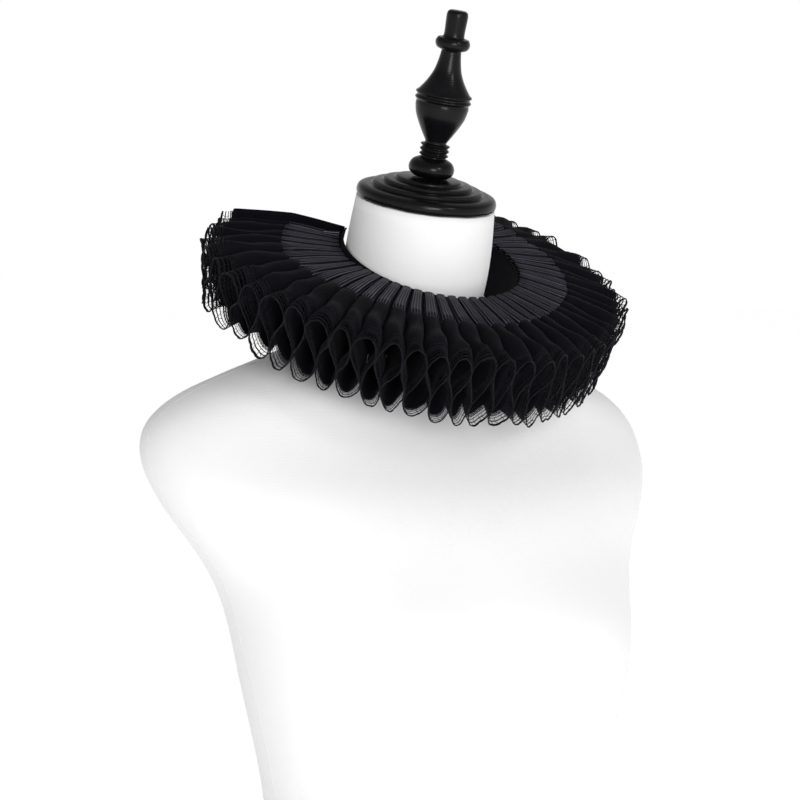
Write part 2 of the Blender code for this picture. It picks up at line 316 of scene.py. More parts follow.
def in_frame(points):
    """From the collar's own frame in millimetres to the model's, in metres."""
    place = Matrix.Translation(Vector(COLLAR_CENTRE)) @ Matrix.Rotation(math.radians(COLLAR_FORWARD), 4, "X")
    matrix = np.array(place)
    return (points @ matrix[:3, :3].T + matrix[:3, 3]) * MM


# Meshes
def new_object(name, data):
    made = bpy.data.objects.new(name, data)
    bpy.context.scene.collection.objects.link(made)
    return made


def edit_whole(made):
    """Opens a piece alone in edit mode, with all of its mesh selected."""
    for other in bpy.context.selected_objects:
        other.select_set(False)
    bpy.context.view_layer.objects.active = made
    made.select_set(True)
    bpy.ops.object.mode_set(mode="EDIT")
    bpy.ops.mesh.select_all(action="SELECT")


def new_piece(name, points, faces, finish, uv=None):
    """A smooth object from points in metres, with the UV of each point where there is one."""
    mesh = bpy.data.meshes.new(name)
    mesh.from_pydata(np.asarray(points).tolist(), [], [tuple(face) for face in faces])
    mesh.materials.append(finish)
    if uv is not None:
        layer = mesh.uv_layers.new(name="cloth")
        corners = np.empty(len(mesh.loops), dtype=int)
        mesh.loops.foreach_get("vertex_index", corners)
        layer.data.foreach_set("uv", np.asarray(uv)[corners].astype(np.float32).ravel())
    mesh.shade_smooth()
    return new_object(name, mesh)


def shell(points, normals, uv, thickness):
    """Two skins and a rim from a grid of points, as points, faces and UV."""
    rows, columns = points.shape[:2]
    near = points + normals * thickness / 2
    far = points - normals * thickness / 2
    count = rows * columns
    index = np.arange(count).reshape(rows, columns)
    a, b, c, d = index[:-1, :-1], index[1:, :-1], index[1:, 1:], index[:-1, 1:]
    front = np.stack((a, b, c, d), axis=-1).reshape(-1, 4)
    border = np.concatenate((index[:-1, 0], index[-1, :-1], index[:0:-1, -1], index[0, :0:-1]))
    ahead = np.roll(border, -1)
    rim = np.stack((ahead, border, border + count, ahead + count), axis=-1)
    faces = np.concatenate((front, front[:, ::-1] + count, rim))
    flat = np.concatenate((near.reshape(-1, 3), far.reshape(-1, 3)))
    return flat, faces.tolist(), np.concatenate((uv.reshape(-1, 2), uv.reshape(-1, 2)))


def grid_normals(points):
    return unit(np.cross(np.gradient(points, axis=0), np.gradient(points, axis=1)))


def crumple(points, scale, seed):
    """Smooth noise at each point of a grid, from -1 to 1."""
    shift = Vector((seed, seed * 0.7, seed * 0.3))
    flat = [noise.noise(Vector(point) * scale + shift) for point in points.reshape(-1, 3)]
    return np.array(flat).reshape(points.shape[:-1])


def threads(lines):
    """Closed four-sided threads along lines: each has points, a direction off the cloth, width and height."""
    points, faces = [], []
    for line, off, width, height in lines:
        line = np.asarray(line, dtype=float)
        off = np.broadcast_to(np.asarray(off, dtype=float), line.shape)
        ahead = np.roll(line, -1, axis=0) - np.roll(line, 1, axis=0)
        ahead[0], ahead[-1] = line[1] - line[0], line[-1] - line[-2]
        side = unit(np.cross(ahead, off))
        first = len(points)
        for centre, across, up in zip(line, side, off):
            points += [centre + across * width / 2, centre + up * height / 2]
            points += [centre - across * width / 2, centre - up * height / 2]
        end = first + 4 * (len(line) - 1)
        for near in range(first, end, 4):
            for j in range(4):
                k = (j + 1) % 4
                faces.append((near + j, near + k, near + 4 + k, near + 4 + j))
        faces.append((first + 3, first + 2, first + 1, first))
        faces.append((end, end + 1, end + 2, end + 3))
    return np.array(points), faces


def repeat_on_strip(strip, pattern, period, inner):
    """Lays copies of a flat pattern end to end on a strip: the pattern's x runs along, y out, z off it."""
    points, faces = pattern
    count = round(strip.length / period)
    stretch = strip.length / (count * period)
    starts = np.arange(count)[:, None] * period
    along = ((starts + points[None, :, 0]) * stretch).ravel()
    out = np.tile(points[:, 1], count) + inner
    off = np.tile(points[:, 2], count)
    laid = strip.points(along, out) + strip.normals(along, out) * off[:, None]
    size = len(points)
    every = np.arange(count)[:, None, None] * size
    quads = (np.array(faces)[None] + every).reshape(-1, 4)
    uv = np.stack((along, out), axis=1) * MM
    return in_frame(laid), quads.tolist(), uv


def finish_piece(made, slot, *nodes):
    """Lets a piece ride on the one body and hides the imported parts that it stands for; its slot is not
    used.
    """
    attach(made, "root")
    if nodes:
        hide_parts(*nodes)
    return made


def sheet(name, points, normals, uv, thickness, finish, slot, node):
    """A thin shell on a grid of points, which stands for its node."""
    made, faces, flat = shell(points, normals, uv, thickness)
    return finish_piece(new_piece(name, in_frame(made), faces, finish, flat), slot, node)


def outward(made):
    """Merges doubles and turns a new mesh's faces outwards."""
    work = bmesh.new()
    work.from_mesh(made.data)
    bmesh.ops.remove_doubles(work, verts=work.verts, dist=1e-7)
    bmesh.ops.recalc_face_normals(work, faces=work.faces)
    work.to_mesh(made.data)
    work.free()


# Finishes
class Value:
    """A socket in a tree of nodes, so that sums on it are written as Python."""

    def __init__(self, tree, socket):
        self.tree = tree
        self.socket = socket

    def maths(self, operation, *others):
        return self.tree.node("ShaderNodeMath", {"operation": operation}, dict(enumerate((self, *others))))

    def __add__(self, other):
        return self.maths("ADD", other)

    def __mul__(self, other):
        return self.maths("MULTIPLY", other)

    def wave(self, period):
        """A smooth wave from 0 to 1 with this many metres between its crests."""
        return (self * (math.tau / period)).maths("SINE") * 0.5 + 0.5


class Nodes:
    """A tree of nodes, to which nodes are added by type, settings and inputs."""

    def __init__(self, tree):
        self.nodes = tree.nodes
        self.links = tree.links

    def node(self, kind, settings=None, inputs=None, output=0):
        made = self.nodes.new(kind)
        for setting, value in (settings or {}).items():
            setattr(made, setting, value)
        for socket, value in (inputs or {}).items():
            self.feed(made.inputs[socket], value)
        return Value(self, made.outputs[output])

    def feed(self, socket, value):
        if isinstance(value, Value):
            self.links.new(value.socket, socket)
        else:
            socket.default_value = value

    def colours(self, amount, stops):
        """A colour for an amount, from stops of a place and its colour."""
        made = self.node("ShaderNodeValToRGB", None, {0: amount})
        elements = made.socket.node.color_ramp.elements
        for _ in stops[2:]:
            elements.new(0.5)
        for element, (place, colour) in zip(elements, stops):
            element.position = place
            element.color = (*colour, 1.0)
        return made


class Finish(Nodes):
    """A procedural material, built node by node on its Principled shader."""

    def __init__(self, name, roughness, **constants):
        self.material = bpy.data.materials.new(name)
        self.material.use_nodes = True
        super().__init__(self.material.node_tree)
        self.shader = self.nodes["Principled BSDF"]
        self.shader.inputs["Roughness"].default_value = roughness
        for socket, value in constants.items():
            self.shader.inputs[socket.replace("_", " ")].default_value = value

    def coordinates(self):
        return self.node("ShaderNodeTexCoord", output="Object")

    def along_and_across(self):
        """Metres along and across the cloth, from the piece's own UV."""
        split = self.node("ShaderNodeUVMap", {"uv_map": "cloth"})
        return [self.node("ShaderNodeSeparateXYZ", None, {0: split}, output=axis) for axis in ("X", "Y")]

    def cloudy(self, scale, detail, where=None):
        """Soft patches, smaller at a larger scale."""
        inputs = {"Vector": where or self.coordinates(), "Scale": scale, "Detail": detail}
        return self.node("ShaderNodeTexNoise", None, inputs)

    def bump(self, height, distance, strength=1.0):
        inputs = {"Height": height, "Distance": distance, "Strength": strength}
        return self.node("ShaderNodeBump", None, inputs)

    def done(self, colour, roughness=None, normal=None):
        self.feed(self.shader.inputs["Base Color"], colour)
        if roughness is not None:
            self.feed(self.shader.inputs["Roughness"], roughness)
        if normal is not None:
            self.feed(self.shader.inputs["Normal"], normal)
        return self.material


def shade(colour, factor):
    return tuple(min(1.0, part * factor) for part in colour[:3])


def ribbon_finish(settings, name="ribbed_ribbon", painted_lighter=1.0):
    """Ribbed ribbon with a soft sheen and fine yarns across; along each rib a painted highlight, and painted
    shade in the grooves between.
    """
    finish = Finish(name, 0.45, Sheen_Weight=0.01, Sheen_Roughness=0.35, Specular_IOR_Level=0.07)
    along, across = finish.along_and_across()
    rib = along.wave(settings.rib_spacing)
    yarn = across.wave(settings.rib_spacing * 0.55)
    patches = finish.cloudy(22.0, 3.0)
    fine = finish.cloudy(900.0, 1.0)
    amount = rib * 0.66 + yarn * 0.06 + patches * 0.18 + fine * 0.1
    # A factor above one paints this copy of the ribbon paler, as painted light
    base = shade(settings.ribbon_colour, painted_lighter)
    # Painted light: the ribs' crests are painted up to eleven times the ribbon's colour as a highlight, and
    # the grooves darker as painted shade
    shades = ((0.42, shade(base, 0.4)), (0.66, shade(base, 0.9)), (0.87, shade(base, 11.0)))
    colour = finish.colours(amount, shades)
    normal = finish.bump(rib * 0.4 + yarn * 0.3 + fine * 0.2, 0.00012)
    return finish.done(colour, patches * 0.22 + 0.34, normal)


def cloth_finish(name, settings):
    """Matt plain-woven cloth with a faint fuzz that catches the light at its edges."""
    finish = Finish(name, 0.85, Sheen_Weight=0.02, Sheen_Roughness=0.45, Specular_IOR_Level=0.06)
    along, across = finish.along_and_across()
    weave = along.wave(settings.weave_spacing) * across.wave(settings.weave_spacing)
    patches = finish.cloudy(30.0, 3.0)
    fuzz = finish.cloudy(1300.0, 1.0)
    amount = weave * 0.25 + patches * 0.5 + fuzz * 0.25
    base = settings.cloth_colour
    shades = ((0.2, shade(base, 0.45)), (0.55, shade(base, 1.0)), (0.9, shade(base, 1.8)))
    colour = finish.colours(amount, shades)
    normal = finish.bump(weave * 0.7 + fuzz * 0.5, 0.00015)
    return finish.done(colour, patches * 0.15 + 0.74, normal)


def thread_finish(name, colour, twist):
    """Twisted thread, with its twist as fine slanting ridges."""
    finish = Finish(name, 0.6, Sheen_Weight=0.02, Specular_IOR_Level=0.12)
    along, across = finish.along_and_across()
    plies = (along * 0.8 + across * 0.6).wave(twist)
    patches = finish.cloudy(60.0, 2.0)
    shades = ((0.2, shade(colour, 0.5)), (0.8, shade(colour, 1.7)))
    normal = finish.bump(plies, 0.00012)
    return finish.done(finish.colours(plies * 0.5 + patches * 0.5, shades), patches * 0.2 + 0.5, normal)


def cover_finish(settings, name="form_cover", painted_shade=1.0):
    """White cotton cover: a close weave, a few slubs and faint yellowing in patches."""
    finish = Finish(name, 0.8, Sheen_Weight=0.2, Sheen_Roughness=0.5, Specular_IOR_Level=0.3)
    around, up = finish.along_and_across()
    weave = around.wave(settings.cover_weave) * 0.5 + up.wave(settings.cover_weave) * 0.5
    patches = finish.cloudy(9.0, 3.0)
    slubs = finish.cloudy(420.0, 2.0)
    # Painted shade: a factor below one darkens this copy of the cover for the seams
    base = shade(settings.cover_colour, painted_shade)
    warm = (base[0] * 0.985, base[1] * 0.978, base[2] * 0.968)
    amount = weave * 0.12 + patches * 0.6 + slubs * 0.28
    colour = finish.colours(amount, ((0.2, shade(warm, 0.93)), (0.5, shade(warm, 1.02)), (0.85, base)))
    normal = finish.bump(weave * 0.5 + slubs * 0.6, 0.0001)
    return finish.done(colour, slubs * 0.12 + 0.74, normal)


def lacquer_finish(settings):
    """Black painted and polished wood: a glossy coat over faint turning lines, duller in patches."""
    finish = Finish("black_lacquer", 0.2, Specular_IOR_Level=0.15)
    place = finish.coordinates()
    rise = finish.node("ShaderNodeSeparateXYZ", None, {0: place}, output="Z")
    turned = rise.wave(0.0011)
    patches = finish.cloudy(45.0, 4.0, place)
    specks = finish.cloudy(700.0, 2.0, place)
    base = settings.lacquer_colour
    shades = ((0.3, shade(base, 0.7)), (0.6, shade(base, 1.0)), (0.85, shade(base, 2.6)))
    colour = finish.colours(patches * 0.7 + specks * 0.3, shades)
    normal = finish.bump(turned * 0.3 + patches * 0.5, 0.00012, 0.5)
    return finish.done(colour, patches * 0.2 + specks * 0.08 + 0.1, normal)


def floor_finish(settings):
    """Pale matt paper with a barely visible mottle."""
    finish = Finish("studio_floor", 0.9, Specular_IOR_Level=0.1, Emission_Strength=settings.floor_glow)
    finish.shader.inputs["Emission Color"].default_value = (1.0, 1.0, 1.0, 1.0)
    base = settings.floor_colour
    colour = finish.colours(finish.cloudy(1.3, 2.0), ((0.3, shade(base, 0.985)), (0.7, base[:3])))
    return finish.done(colour)


# Sizes and colours
def length_value(name, description, default, low=0.0, high=1.0):
    return bpy.props.FloatProperty(
        name=name, description=description, default=default, min=low, max=high, unit="LENGTH", precision=5
    )


def colour_value(name, description, default):
    return bpy.props.FloatVectorProperty(
        name=name, description=description, default=default, size=3, min=0.0, max=1.0, subtype="COLOR"
    )


def light_value(name, description, default, **extra):
    return bpy.props.FloatProperty(name=name, description=description, default=default, min=0.0, **extra)


class RUFF_PG_strip(bpy.types.PropertyGroup):
    """Sizes and colours of the pleated strip's ribbon and cloth."""

    ribbon_thickness: length_value("Ribbon Thickness", "How thick the ribbon is", 0.0006, 0.0002, 0.002)
    rib_spacing: length_value("Rib Spacing", "From one rib of the ribbon to the next", 0.0019, 0.0005, 0.004)
    rib_depth: length_value("Rib Depth", "How far the ribs stand out", 0.00026, 0.0, 0.001)
    cloth_thickness: length_value("Cloth Thickness", "How thick the plain cloth is", 0.00045, 0.0002, 0.002)
    weave_spacing: length_value("Weave Spacing", "From one of its yarns to the next", 0.0006, 0.0002, 0.004)
    crease: length_value("Crease", "How far the cloth's small creases stand out", 0.00035, 0.0, 0.003)
    ribbon_colour: colour_value("Ribbon Colour", "Colour of the ribbon", (0.0084, 0.0082, 0.0112))
    cloth_colour: colour_value("Cloth Colour", "Colour of the plain cloth", (0.0036, 0.0036, 0.0062))


class RUFF_PG_lace(bpy.types.PropertyGroup):
    """Sizes and colour of the lace edging."""

    scallop: length_value("Scallop Length", "Length of one scallop along the edge", 0.0068, 0.006, 0.03)
    cord: length_value("Cord Width", "Width of the cord along the edge", 0.0015, 0.0003, 0.003)
    thread: length_value("Thread Width", "Width of the net's threads", 0.00045, 0.0002, 0.002)
    colour: colour_value("Lace Colour", "Colour of the lace", (0.0031, 0.0031, 0.0052))


class RUFF_PG_form(bpy.types.PropertyGroup):
    """Sizes and colours of the dress form."""

    cover_weave: length_value("Cover Weave", "From one yarn of the cover to the next", 0.0009, 0.0003, 0.004)
    seam: length_value("Seam Width", "Width of the cover's raised seams", 0.0012, 0.0005, 0.005)
    cover_colour: colour_value("Cover Colour", "Colour of the cover", (0.795, 0.79, 0.8))
    lacquer_colour: colour_value("Lacquer Colour", "Colour of the cap and finial", (0.0035, 0.0035, 0.0042))


class RUFF_PG_stage(bpy.types.PropertyGroup):
    """Sizes, colour and lights of the studio."""

    floor_radius: length_value("Floor Radius", "Radius of the round floor", 9.0, 2.0, 30.0)
    floor_colour: colour_value("Floor Colour", "Colour of the floor", (0.96, 0.96, 0.96))
    floor_glow: light_value("Floor Glow", "How much light the floor gives off", 0.6)
    sky: light_value("Sky", "Strength of the pale surround", 1.0)
    overhead: light_value("Overhead", "How pale the surround is overhead", 0.35, max=1.0)
    key: light_value("Key", "Light from the camera's right", 7.5, unit="POWER")
    fill: light_value("Fill", "Light from beside the camera", 23.0, unit="POWER")


# Pieces of the collar
def band_grid(strip, along, radii):
    """A band's grid of points and normals, with its UV in metres."""
    rows, columns = np.meshgrid(along, radii, indexing="ij")
    shape = rows.shape
    points = strip.points(rows.ravel(), columns.ravel()).reshape(*shape, 3)
    normals = strip.normals(rows.ravel(), columns.ravel()).reshape(*shape, 3)
    uv = np.stack((rows, columns), axis=-1) * MM
    return points, normals, uv


class RUFF_OT_ribbon(bpy.types.Operator):
    """Make the ribbed ribbon round the neck and the stitching at its outer edge"""

    bl_idname = "ruff.ribbon"
    bl_label = "Pleated Ribbon"

    def execute(self, context):
        settings = context.scene.ruff_strip
        radii = np.linspace(NECK_EDGE, FOLD_STOPS[1], 5)
        strip = pleats(0, 2 * FOLDS, radii)
        count = 2 * round(strip.length * MM / settings.rib_spacing)
        along = np.linspace(0.0, strip.length, count + 1)
        radii = np.linspace(NECK_EDGE + 0.2, FOLD_STOPS[1] - 0.1, 6)
        points, normals, uv = band_grid(strip, along, radii)
        ridge = np.where(np.arange(count + 1) % 2 == 0, -0.5, 0.5) * settings.rib_depth / MM
        swell = crumple(points, 0.06, 3.0) * settings.crease / MM * 0.5
        points = points + normals * (ridge[:, None] + swell)[..., None]
        thickness = settings.ribbon_thickness / MM
        finish = ribbon_finish(settings)
        ribbon = sheet("pleated_ribbon", points, normals, uv, thickness, finish, "ribbon", "ruffle_ribbon")

        lift = thickness / 2
        stitches = []
        for side in (1, -1):
            up = side * (lift + STITCH_RISE)
            line = ((0.5, 0.0, side * lift), (1.2, 0.0, up), (1.9, 0.0, side * lift))
            stitches.append((line, (0, 0, 1), STITCH_WIDTH, STITCH_WIDTH))
        inner = FOLD_STOPS[1] - STITCH_INSET
        laid, faces, uv = repeat_on_strip(strip, threads(stitches), STITCH_SPACING, inner)
        thread = thread_finish("sewing_thread", shade(settings.ribbon_colour, 1.5), 0.0006)
        sewn = finish_piece(new_piece("ribbon_stitching", laid, faces, thread, uv), "ribbon")
        return {"FINISHED"}


class RUFF_OT_cloth(bpy.types.Operator):
    """Make the plain cloth between the ribbon and the lace"""

    bl_idname = "ruff.cloth"
    bl_label = "Pleated Cloth"

    def execute(self, context):
        settings = context.scene.ruff_strip
        radii = np.linspace(FOLD_STOPS[1] - 2.0, FOLD_STOPS[2] + 3.0, 6)
        strip = pleats(0, 2 * FOLDS, radii)
        along = np.linspace(0.0, strip.length, CLOTH_PARTS * FOLDS + 1)
        radii = np.linspace(FOLD_STOPS[1] - UNDER_RIBBON, FOLD_STOPS[2] + UNDER_LACE, 11)
        points, normals, uv = band_grid(strip, along, radii)
        swell = crumple(points, 0.09, 8.0) + 0.5 * crumple(points, 0.24, 5.0)
        points = points + normals * (swell * settings.crease / MM)[..., None]
        thickness = settings.cloth_thickness / MM
        finish = cloth_finish("plain_cloth", settings)
        cloth = sheet("pleated_cloth", points, normals, uv, thickness, finish, "cloth", "ruffle_cloth")
        return {"FINISHED"}


def wavy(length, level, rise, steps):
    """A line along one scallop of the edging, level at both ends and risen in the middle."""
    places = np.linspace(0.0, 1.0, steps + 1)
    return [(place * length, level + rise * math.sin(math.pi * place), 0.0) for place in places]


def scallop_pattern(settings):
    """One scallop of the edging, lying flat: rows of thread, the net between them, its edge and teeth."""
    length = settings.scallop / MM
    cord, thread = settings.cord / MM, settings.thread / MM
    lines = []

    def add(points, width):
        lines.append((points, (0, 0, 1), width, width * 0.7))

    def zigzag(low, high, width):
        add([(length * i / 6, (low, high)[i % 2], 0.0) for i in range(7)], width)

    for level in LACE_ROWS:
        add(wavy(length, level, 0.0, 3), thread * 1.8)
    add(wavy(length, NET_ROWS[0], 0.1, 4), thread * 1.2)
    add(wavy(length, NET_ROWS[1], 0.3, 5), thread * 1.8)
    add(wavy(length, EDGE_ROW, 0.45, 6), cord)
    zigzag(LACE_ROWS[0], LACE_ROWS[1], thread * 0.9)
    zigzag(LACE_ROWS[3], LACE_ROWS[1], thread * 0.9)
    zigzag(LACE_ROWS[3], NET_ROWS[0] + 0.1, thread * 0.7)
    for place, lean in ((0.02, 0.8), (0.5, -0.9)):
        x = place * length
        add(((x, NET_ROWS[0], 0.0), (x + lean, NET_ROWS[1] + 0.2, 0.0)), thread * 0.7)
        add(((x + lean, NET_ROWS[1] + 0.1, 0.0), (x + lean * 0.2 + 1.4, EDGE_ROW + 0.1, 0.0)), thread * 0.8)
    for place in (0.25, 0.75):
        x = place * length
        tooth = ((x - TOOTH_HALF, TOOTH_FOOT, 0.0), (x, TOOTH_TIP, 0.0), (x + TOOTH_HALF, TOOTH_FOOT, 0.0))
        add(tooth, thread * 1.2)
    return threads(lines)


def lace_piece(name, strip, inner, settings, finish, *nodes):
    """Lace laid along a strip, from an inner radius outwards."""
    laid, faces, uv = repeat_on_strip(strip, scallop_pattern(settings), settings.scallop / MM, inner)
    return finish_piece(new_piece(name, laid, faces, finish, uv), "lace", *nodes)


class RUFF_OT_lace(bpy.types.Operator):
    """Make the scalloped lace edging in two lengths"""

    bl_idname = "ruff.lace"
    bl_label = "Lace Edging"

    def execute(self, context):
        settings = context.scene.ruff_lace
        finish = thread_finish("lace_thread", settings.colour, LACE_TWIST)
        middle = FOLDS + 1
        lengths = (
            ("lace_edging_right", "lace_right", 0, middle),
            ("lace_edging_left", "lace_left", middle, 2 * FOLDS),
        )
        radii = np.linspace(FOLD_STOPS[2], RIM + 1.0, 5)
        for name, node, first, last in lengths:
            strip = pleats(first, last, radii)
            lace = lace_piece(name, strip, FOLD_STOPS[2], settings, finish, node)
        return {"FINISHED"}


class RUFF_OT_neckband(bpy.types.Operator):
    """Make the upright band that the strip is sewn to"""

    bl_idname = "ruff.neckband"
    bl_label = "Neckband"

    def execute(self, context):
        settings = context.scene.ruff_strip
        middle = NECK_EDGE - BAND_GAP - BAND_WALL / 2
        angles = np.linspace(FIRST_END, LAST_END, 221)
        heights = np.linspace(BAND_TOP - EDGE_TRIM, BAND_TOP - BAND_HEIGHT + EDGE_TRIM, 13)
        points = np.array([[round_neck(angle, middle, up) for up in heights] for angle in angles])
        normals = unit(points * (1.0, 1.0, 0.0))
        points = points + normals * (crumple(points, 0.12, 2.0) * 0.25)[..., None]
        run = np.radians(angles - FIRST_END) * middle
        uv = np.stack(np.meshgrid(run, heights, indexing="ij"), axis=-1) * MM
        finish = cloth_finish("band_cloth", settings)
        band = sheet("neck_band_cloth", points, normals, uv, BAND_WALL * 0.6, finish, "cloth", "neckband")

        edges = []
        for up in (heights[0], heights[-1]):
            line = np.array([round_neck(angle, middle, up) for angle in angles])
            edges.append((line, (0.0, 0.0, 1.0), BAND_WALL, BAND_WALL * 0.7))
        rolled, faces = threads(edges)
        turns = np.degrees(np.arctan2(rolled[:, 0], -rolled[:, 1]))
        edge_uv = np.stack((turns * BAND_TURN, rolled[:, 2] * MM), axis=1)
        rolled_edge = new_piece("neck_band_edges", in_frame(rolled), faces, finish, edge_uv)
        finish_piece(rolled_edge, "cloth")
        outward(rolled_edge)
        return {"FINISHED"}


class RUFF_OT_opening(bpy.types.Operator):
    """Make the strip's lace-edged first end and the ribbon's folded end, at the opening"""

    bl_idname = "ruff.opening"
    bl_label = "Opening"

    def execute(self, context):
        settings = context.scene.ruff_strip
        lace = self.add_panel_lace(context.scene.ruff_lace)
        self.add_panel(settings, lace)
        self.add_tab(settings)
        return {"FINISHED"}

    def panel_rows(self, radii, count):
        """Rows of points up the panel, at these radii."""
        rows = []
        for radius in radii:
            x, y, z = strip_point(0, 0, 0, radius)
            reach = math.hypot(x, y)
            angle = math.degrees(math.atan2(x, -y)) - math.degrees(PANEL_GAP / reach)
            top = z + PANEL_RISE
            bottom = z - strip_height(FIRST_END, radius)
            ups = np.linspace(bottom + EDGE_TRIM, top - EDGE_TRIM, count)
            rows.append([round_neck(angle, reach, up) for up in ups])
        return np.array(rows)

    def add_panel_lace(self, settings):
        """The lace down the outer end of the panel, on the same scallops as the strip's."""
        radii = np.linspace(FOLD_STOPS[2] - 2.0, RIM, 5)
        strip = Strip(self.panel_rows(radii, 7).transpose(1, 0, 2), radii)
        finish = thread_finish("end_lace_thread", settings.colour, LACE_TWIST)
        return lace_piece("end_panel_lace", strip, FOLD_STOPS[2] - 0.8, settings, finish)

    def add_panel(self, settings, lace):
        """The panel's cloth and the rolled hem along its top and its outer end."""
        width, length = PANEL_WIDTH * MM, (FOLD_STOPS[2] + UNDER_LACE - NECK_EDGE) * MM
        across, up = PANEL_GRID
        points = self.panel_rows(np.linspace(NECK_EDGE, NECK_EDGE + length / MM, across), up)
        normals = grid_normals(points)
        points = points + normals * (crumple(points, 0.07, 6.0) * 0.3)[..., None]
        run = np.linspace(0.0, length, across)
        rise = np.linspace(0.0, width, up)
        uv = np.stack(np.meshgrid(run, rise, indexing="ij"), axis=-1)
        finish = cloth_finish("panel_cloth", settings)
        panel = sheet("end_panel", points, normals, uv, PANEL_WALL, finish, "cloth", "closing_panel")
        top = (points[:, -1], (0.0, 0.0, 1.0), *PANEL_HEM)
        end = (points[-1], unit(points[-1] - points[-2]), *PANEL_HEM)
        rolled, faces = threads((top, end))
        edge = new_piece("end_panel_hem", in_frame(rolled), faces, finish, rolled[:, 1:] * MM)
        finish_piece(edge, "cloth")
        outward(edge)

    def add_tab(self, settings):
        """The ribbon's end, folded over and lying lower towards its outer end."""
        half = TAB_HALF
        turns = np.linspace(-0.5, 0.5, 9) * math.pi
        bend = TAB_HEIGHT - half - TAB_MARGIN
        profile = [(-half, 0.0), (-half, bend * 0.35), (-half * 1.15, bend * 0.7)]
        profile += [(half * math.sin(turn), bend + half * math.cos(turn)) for turn in turns]
        profile += [(half * 1.25, bend * 0.65), (half * 1.1, bend * 0.3), (half, 0.0)]
        rows = []
        lengths = np.linspace(0.0, TAB_LENGTH, 14)
        for length in lengths:
            radius = NECK_EDGE + TAB_OUT + length
            foot = strip_top(TAB_ANGLE, radius) + TAB_FOOT
            curl = TAB_CURL * math.sin(length / TAB_LENGTH * math.pi)
            low = 1 - 0.5 * length / TAB_LENGTH
            row = []
            for side, up in profile:
                turn = math.degrees((side + curl * up / TAB_HEIGHT) / radius)
                row.append(round_neck(TAB_ANGLE + turn, radius, foot + up * low))
            rows.append(row)
        points = np.array(rows)
        normals = grid_normals(points)
        run = run_along(points[0])
        uv = np.stack(np.meshgrid(lengths, run, indexing="ij"), axis=-1)[..., ::-1] * MM
        # The folded end is the same ribbon, painted paler as painted light
        finish = ribbon_finish(settings, "ribbon_end", TAB_PAINTED_LIGHTER)
        tab = sheet("folded_ribbon_end", points, normals, uv, TAB_WALL, finish, "ribbon", "ribbon_tab")


# Pieces of the form
def round_uv(made, radius):
    """UV round and up a standing piece, in metres at its usual radius, whole across its back."""
    mesh = made.data
    layer = mesh.uv_layers.new(name="cloth")
    places = np.empty(len(mesh.vertices) * 3)
    mesh.vertices.foreach_get("co", places)
    places = places.reshape(-1, 3)
    centre = (places.min(axis=0) + places.max(axis=0)) / 2
    turns = np.arctan2(places[:, 0] - centre[0], -(places[:, 1] - centre[1]))
    for face in mesh.polygons:
        corners = list(face.loop_indices)
        values = [turns[mesh.loops[corner].vertex_index] for corner in corners]
        if max(values) - min(values) > math.pi:
            values = [value + math.tau if value < 0 else value for value in values]
        for corner, value in zip(corners, values):
            rise = places[mesh.loops[corner].vertex_index][2]
            layer.data[corner].uv = (value * radius, rise)


class RUFF_OT_form(bpy.types.Operator):
    """Make the covered dress form and the seams of its cover"""

    bl_idname = "ruff.form"
    bl_label = "Dress Form"

    def execute(self, context):
        settings = context.scene.ruff_form
        cover = new_object("covered_form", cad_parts["dress_form"].data.copy())
        cover.data.materials.clear()
        cover.data.materials.append(cover_finish(settings))
        edit_whole(cover)
        bpy.ops.mesh.remove_doubles(threshold=1e-6)
        bpy.ops.mesh.tris_convert_to_quads(face_threshold=math.radians(50), shape_threshold=math.radians(60))
        bpy.ops.object.mode_set(mode="OBJECT")
        self.crease_ends(cover.data)
        rounded = cover.modifiers.new("rounded", "SUBSURF")
        rounded.levels = rounded.render_levels = 2
        bpy.ops.object.modifier_apply(modifier=rounded.name)
        cover.data.shade_smooth()
        bpy.ops.object.shade_smooth_by_angle(angle=math.radians(50))
        round_uv(cover, COVER_RADIUS)
        finish_piece(cover, "form_cover", "dress_form")
        self.add_seams(settings, cover)
        return {"FINISHED"}

    def crease_ends(self, mesh):
        """Keeps the edges of the form's flat ends sharp when the rest is rounded."""
        work = bmesh.new()
        work.from_mesh(mesh)
        crease = work.edges.layers.float.new("crease_edge")
        for edge in work.edges:
            if len(edge.link_faces) == 2 and edge.calc_face_angle() > math.radians(60):
                edge[crease] = 1.0
        work.to_mesh(mesh)
        work.free()

    def add_seams(self, settings, cover):
        """Raised seams, laid on the cover from outside: down both sides and down the back."""
        work = bmesh.new()
        work.from_mesh(cover.data)
        surface = BVHTree.FromBMesh(work)
        heights = np.linspace(*SEAM_ENDS, SEAM_PARTS)
        sides = (Vector((1, 0, 0)), Vector((-1, 0, 0)), Vector((0, 1, 0)))
        size = (settings.seam, settings.seam * 0.35)
        made, faces = threads([(*self.seam(surface, heights, outside), *size) for outside in sides])
        work.free()
        # The seams get a darker copy of the cover, as painted shade along them
        seams = new_piece("cover_seams", made, faces, cover_finish(settings, "seam_cover_painted_shade", SEAM_PAINTED_SHADE))
        outward(seams)
        round_uv(seams, COVER_RADIUS)
        finish_piece(seams, "form_cover")

    def seam(self, surface, heights, outside):
        """The line where straight views from outside meet the cover, with its outward directions."""
        line, off = [], []
        for height in heights:
            middle = float(np.interp(height, SEAM_HEIGHTS, SEAM_PLACES))
            start = Vector((0.0, middle, height)) + outside * 0.5
            place, normal, _, _ = surface.ray_cast(start, -outside)
            if place is not None:
                line.append(place)
                off.append(normal)
        return np.array(line), np.array(off)


